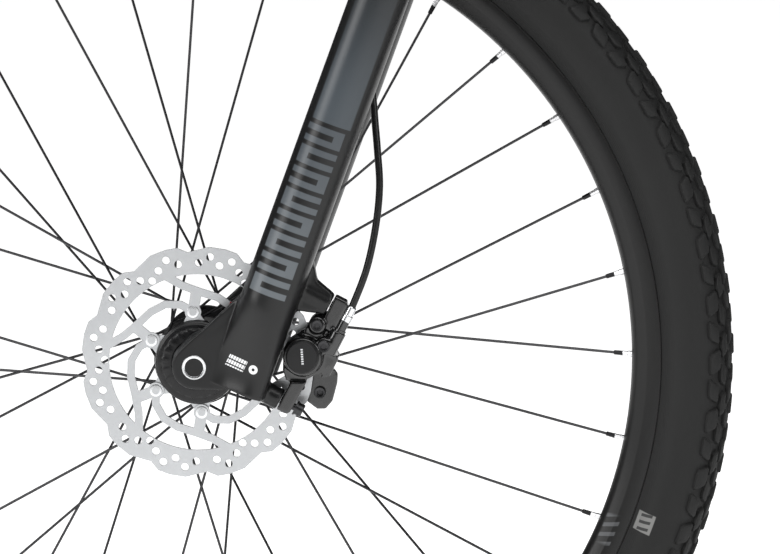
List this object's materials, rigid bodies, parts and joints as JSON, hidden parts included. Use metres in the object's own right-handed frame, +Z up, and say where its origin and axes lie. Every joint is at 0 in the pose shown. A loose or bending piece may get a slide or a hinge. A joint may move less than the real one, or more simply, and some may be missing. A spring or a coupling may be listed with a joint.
{
  "type": "mountain bike",
  "caption": "Hardtail mountain bike with large wheels, a suspension fork, disc brakes and a single chainring with a wide cassette.",
  "frame": {"origin": "on the ground, midway between the axles and on the centre plane", "axes": "+X forwards, +Y to the rider's left, +Z up"},
  "size_m": [1.882, 0.7444, 1.0241],
  "materials": {
    "frame_paint": "satin",
    "black_alloy": "satin anodised",
    "fork_paint": "satin",
    "steel": "brushed",
    "dark_steel": "blackened",
    "silver_alloy": "machined",
    "rubber": "matt",
    "tyre": "matt",
    "black_plastic": "matt",
    "red_anodised": "anodised",
    "seat_cover": "matt",
    "hose": "gloss"
  },
  "bodies": {
    "frame": {"head_tube": "frame_paint", "top_tube": "frame_paint", "down_tube": "frame_paint", "seat_tube": "frame_paint", "bb_shell": "frame_paint", "chainstays": "frame_paint", "seatstays": "frame_paint", "dropouts": "frame_paint", "headset": "black_alloy", "seat_clamp": "black_alloy", "bb_cups": "black_alloy", "rear_axle": "black_alloy", "rear_caliper": "black_alloy", "derailleur_body": "black_alloy", "chain": "dark_steel", "rear_hoses": "hose"},
    "seat": {"seatpost": "black_alloy", "saddle": "seat_cover", "saddle_rails": "steel"},
    "cranks": {"crank_arm_right": "black_alloy", "crank_arm_left": "black_alloy", "chainring": "black_alloy", "pedal_axles": "silver_alloy"},
    "left_pedal": {"pedal_left": "black_plastic"},
    "right_pedal": {"pedal_right": "black_plastic"},
    "sprockets": {"cassette": "steel"},
    "rear_wheel": {"rear_hub": "black_alloy", "rear_spokes": "dark_steel", "rear_rim": "black_alloy", "rear_tyre": "tyre", "rear_rotor": "steel"},
    "steering": {"fork_steerer": "black_alloy", "fork_crown": "fork_paint", "fork_stanchions": "black_alloy", "handlebar": "black_alloy", "stem": "black_alloy", "grips": "rubber", "brake_masters": "black_alloy", "shifter": "black_plastic"},
    "lockout": {"lockout_dial": "black_plastic"},
    "fork_lower": {"fork_leg_left": "fork_paint", "fork_leg_right": "fork_paint", "fork_arch": "fork_paint", "front_axle": "silver_alloy", "front_caliper": "black_alloy", "front_brake_hose": "hose"},
    "rebound": {"rebound_knob": "red_anodised"},
    "front_wheel": {"front_hub": "black_alloy", "front_spokes": "dark_steel", "front_rim": "black_alloy", "front_tyre": "tyre", "front_rotor": "steel"},
    "left_lever": {"brake_blade_left": "black_alloy"},
    "right_lever": {"brake_blade_right": "black_alloy"},
    "trigger": {"shift_trigger": "black_plastic"},
    "link": {"derailleur_link": "black_alloy"},
    "knuckle": {"derailleur_knuckle": "black_alloy"},
    "cage": {"derailleur_cage": "black_alloy"},
    "upper_pulley": {"guide_pulley": "black_plastic"},
    "lower_pulley": {"tension_pulley": "black_plastic"}
  },
  "joints": [
    {"name": "steer", "type": "hinge", "parent": "frame", "child": "steering", "pos_m": [0.35808, 0, 0.83829], "axis": [-0.342, 0, 0.9397], "range_deg": [-50, 50], "deforming": ["rear_hoses"]},
    {"name": "fork_travel", "type": "slide", "parent": "steering", "child": "fork_lower", "axis": [-0.342, 0, 0.9397], "range_m": [0, 0.1], "stiffness_N_per_m": 9000, "springref_m": -0.005, "deforming": ["front_brake_hose"]},
    {"name": "front_wheel_spin", "type": "hinge", "parent": "fork_lower", "child": "front_wheel", "pos_m": [0.575, 0, 0.366], "axis": [0, 1, 0], "continuous": true},
    {"name": "rear_wheel_spin", "type": "hinge", "parent": "frame", "child": "rear_wheel", "pos_m": [-0.575, 0, 0.366], "axis": [0, 1, 0], "continuous": true},
    {"name": "crank_spin", "type": "hinge", "parent": "frame", "child": "cranks", "pos_m": [-0.137, 0, 0.306], "axis": [0, 1, 0], "continuous": true, "deforming": ["chain"]},
    {"name": "cassette_spin", "type": "hinge", "parent": "frame", "child": "sprockets", "pos_m": [-0.575, 0, 0.366], "axis": [0, 1, 0], "continuous": true},
    {"name": "left_pedal_spin", "type": "hinge", "parent": "cranks", "child": "left_pedal", "pos_m": [-0.312, 0.077, 0.306], "axis": [0, 1, 0], "continuous": true},
    {"name": "right_pedal_spin", "type": "hinge", "parent": "cranks", "child": "right_pedal", "pos_m": [0.038, -0.077, 0.306], "axis": [0, 1, 0], "continuous": true},
    {"name": "seatpost_slide", "type": "slide", "parent": "frame", "child": "seat", "axis": [-0.284, 0, 0.9588], "range_m": [-0.12, 0.03]},
    {"name": "left_brake_pull", "type": "hinge", "parent": "steering", "child": "left_lever", "pos_m": [0.39092, 0.22312, 0.97197], "axis": [0.6079, 0.118, 0.7852], "range_deg": [0, 18], "stiffness_Nm_per_rad": 0.6, "springref_deg": -14.32},
    {"name": "right_brake_pull", "type": "hinge", "parent": "steering", "child": "right_lever", "pos_m": [0.39092, -0.22312, 0.97197], "axis": [-0.6079, 0.118, -0.7852], "range_deg": [0, 18], "stiffness_Nm_per_rad": 0.6, "springref_deg": -14.32},
    {"name": "shift_press", "type": "hinge", "parent": "steering", "child": "trigger", "pos_m": [0.37619, -0.1213, 0.97005], "axis": [0.0833, -0.0588, 0.9948], "range_deg": [0, 30], "stiffness_Nm_per_rad": 0.3, "springref_deg": -17.19},
    {"name": "lockout_turn", "type": "hinge", "parent": "steering", "child": "lockout", "pos_m": [0.37159, -0.068, 0.83044], "axis": [-0.342, 0, 0.9397], "range_deg": [0, 90]},
    {"name": "rebound_turn", "type": "hinge", "parent": "fork_lower", "child": "rebound", "pos_m": [0.54465, -0.068, 0.35495], "axis": [-0.342, 0, 0.9397], "range_deg": [0, 330]},
    {"name": "shift_swing", "type": "hinge", "parent": "frame", "child": "link", "pos_m": [-0.588, -0.094, 0.312], "axis": [1, 0, 0], "range_deg": [-18, 28]},
    {"name": "knuckle_level", "type": "hinge", "parent": "link", "child": "knuckle", "pos_m": [-0.588, -0.094, 0.262], "axis": [1, 0, 0], "range_deg": [-28, 18]},
    {"name": "cage_swing", "type": "hinge", "parent": "knuckle", "child": "cage", "pos_m": [-0.583, -0.0505, 0.241], "axis": [0, 1, 0], "range_deg": [-30, 25], "stiffness_Nm_per_rad": 1.5},
    {"name": "guide_pulley_spin", "type": "hinge", "parent": "cage", "child": "upper_pulley", "pos_m": [-0.583, -0.0505, 0.241], "axis": [0, 1, 0], "continuous": true},
    {"name": "tension_pulley_spin", "type": "hinge", "parent": "cage", "child": "lower_pulley", "pos_m": [-0.553, -0.0505, 0.166], "axis": [0, 1, 0], "continuous": true}
  ],
  "couplings": [
    {"joint": "cassette_spin", "follows": "crank_spin", "ratio": 1.6842},
    {"joint": "guide_pulley_spin", "follows": "crank_spin", "ratio": -2.9091},
    {"joint": "tension_pulley_spin", "follows": "crank_spin", "ratio": 2.9091},
    {"joint": "knuckle_level", "follows": "shift_swing", "ratio": -1}
  ]
}
